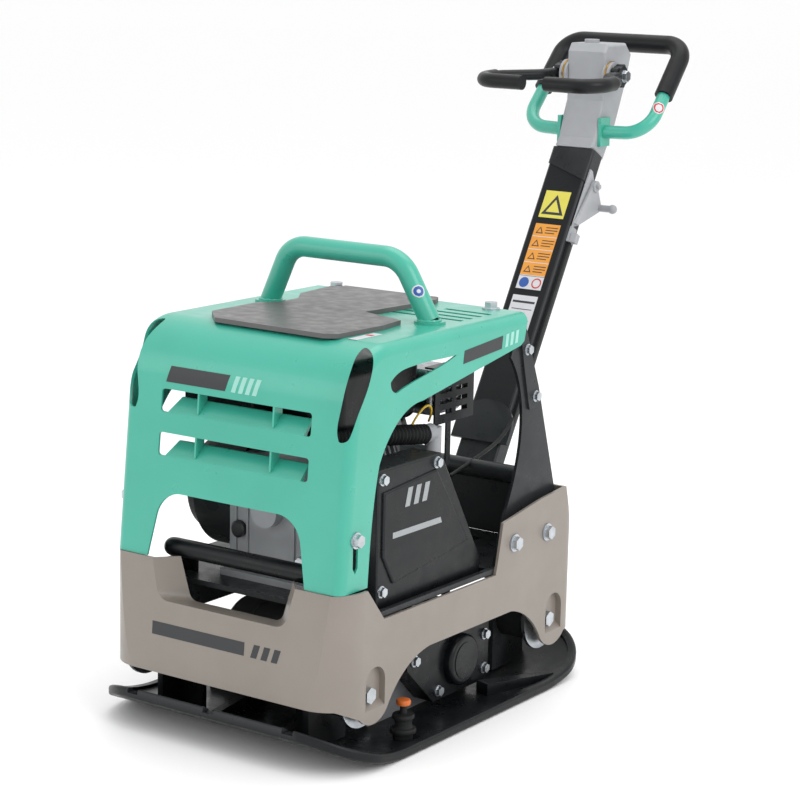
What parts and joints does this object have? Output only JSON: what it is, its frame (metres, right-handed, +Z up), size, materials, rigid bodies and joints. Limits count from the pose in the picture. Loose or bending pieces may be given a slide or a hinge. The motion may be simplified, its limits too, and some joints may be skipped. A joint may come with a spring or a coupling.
{
  "type": "plate compactor",
  "caption": "Reversible vibratory plate compactor with a geared exciter on a curled base plate, a sprung engine deck under a louvred hood, and a tilting control handle.",
  "frame": {"origin": "centre of the base plate's flat sole, on the ground", "axes": "+X towards the belt-cover side, +Y towards the operator's handle, +Z up"},
  "size_m": [0.5, 1.1775, 1.0175],
  "materials": {
    "green": "satin powder coat",
    "beige": "satin powder coat",
    "black": "satin black paint",
    "mat": "smooth black rubber",
    "casting": "grey painted die casting",
    "zinc": "zinc plated",
    "steel": "ground steel",
    "rubber": "moulded rubber",
    "plastic": "satin",
    "grip": "moulded rubber",
    "belt": "fabric backed rubber",
    "castiron": "as cast"
  },
  "bodies": {
    "base": {"base_plate": "black", "exciter_housing": "castiron", "exciter_bolts": "zinc", "exciter_bearings": "steel", "lower_belt_case": "black", "bump_stops": "rubber"},
    "deck": {"air_cleaner": "plastic", "belt": "belt", "belt_cover": "black", "belt_cover_bolts": "zinc", "carburettor": "casting", "crankcase": "casting", "cylinder": "casting", "cylinder_head": "casting", "engine_base": "black", "frame_bolts": "zinc", "fuel_tank": "black", "guard_bar": "black", "handle_bracket": "black", "handle_stop": "rubber", "hood": "green", "hood_bolts": "zinc", "hood_mat": "mat", "intake_hose": "rubber", "lifting_bar": "green", "lower_frame": "beige", "mount_bolts": "zinc", "mount_discs": "zinc", "muffler": "steel", "muffler_guard": "black", "pivot_pin": "steel", "rear_uprights": "black", "recoil_cover": "black", "rocker_cover": "black", "rubber_mounts": "rubber", "upright_brackets": "black"},
    "drive_rotor": {"drive_shaft": "steel", "drive_gear": "steel", "drive_eccentric": "castiron", "exciter_pulley": "castiron"},
    "driven_rotor": {"driven_shaft": "steel", "driven_gear": "steel", "driven_eccentric": "castiron"},
    "crank": {"crankshaft": "steel", "flywheel": "castiron", "clutch_drum": "castiron"},
    "handle": {"handle_column": "black", "pump_head": "casting", "handle_loop": "green", "loop_grip": "grip", "throttle_bracket": "casting", "throttle_cable": "rubber"},
    "lever": {"travel_lever": "black", "lever_grips": "grip", "lever_end_bolts": "zinc"},
    "throttle": {"throttle_lever": "casting"},
    "fuel_cap": {"fuel_cap": "plastic"},
    "engine_switch": {"engine_switch": "plastic"}
  },
  "joints": [
    {"name": "deck_bounce", "type": "slide", "parent": "base", "child": "deck", "axis": [0, 0, 1], "range_m": [-0.004, 0.004], "stiffness_N_per_m": 240000, "springref_m": 0.0035, "deforming": ["rubber_mounts", "belt"]},
    {"name": "drive_spin", "type": "hinge", "parent": "base", "child": "drive_rotor", "pos_m": [0, 0.044, 0.078], "axis": [1, 0, 0], "continuous": true},
    {"name": "driven_spin", "type": "hinge", "parent": "base", "child": "driven_rotor", "pos_m": [0, -0.066, 0.078], "axis": [1, 0, 0], "continuous": true},
    {"name": "crank_spin", "type": "hinge", "parent": "deck", "child": "crank", "pos_m": [0, -0.118, 0.332], "axis": [1, 0, 0], "continuous": true},
    {"name": "handle_tilt", "type": "hinge", "parent": "deck", "child": "handle", "pos_m": [0, 0.347, 0.288], "axis": [1, 0, 0], "range_deg": [0, 30]},
    {"name": "travel_lever_swing", "type": "hinge", "parent": "handle", "child": "lever", "pos_m": [0, 0.685, 0.95], "axis": [-1, 0, 0], "range_deg": [0, 70]},
    {"name": "throttle_swing", "type": "hinge", "parent": "handle", "child": "throttle", "pos_m": [0.05, 0.63, 0.761], "axis": [1, 0, 0], "range_deg": [0, 50]},
    {"name": "fuel_cap_turn", "type": "hinge", "parent": "deck", "child": "fuel_cap", "pos_m": [-0.03, -0.06, 0.58], "axis": [0, 0, 1], "continuous": true},
    {"name": "engine_switch_turn", "type": "hinge", "parent": "deck", "child": "engine_switch", "pos_m": [-0.04, -0.218, 0.382], "axis": [0, 1, 0], "range_deg": [0, 60]}
  ],
  "couplings": [
    {"joint": "driven_spin", "follows": "drive_spin", "ratio": -1},
    {"joint": "crank_spin", "follows": "drive_spin", "ratio": 0.8}
  ]
}
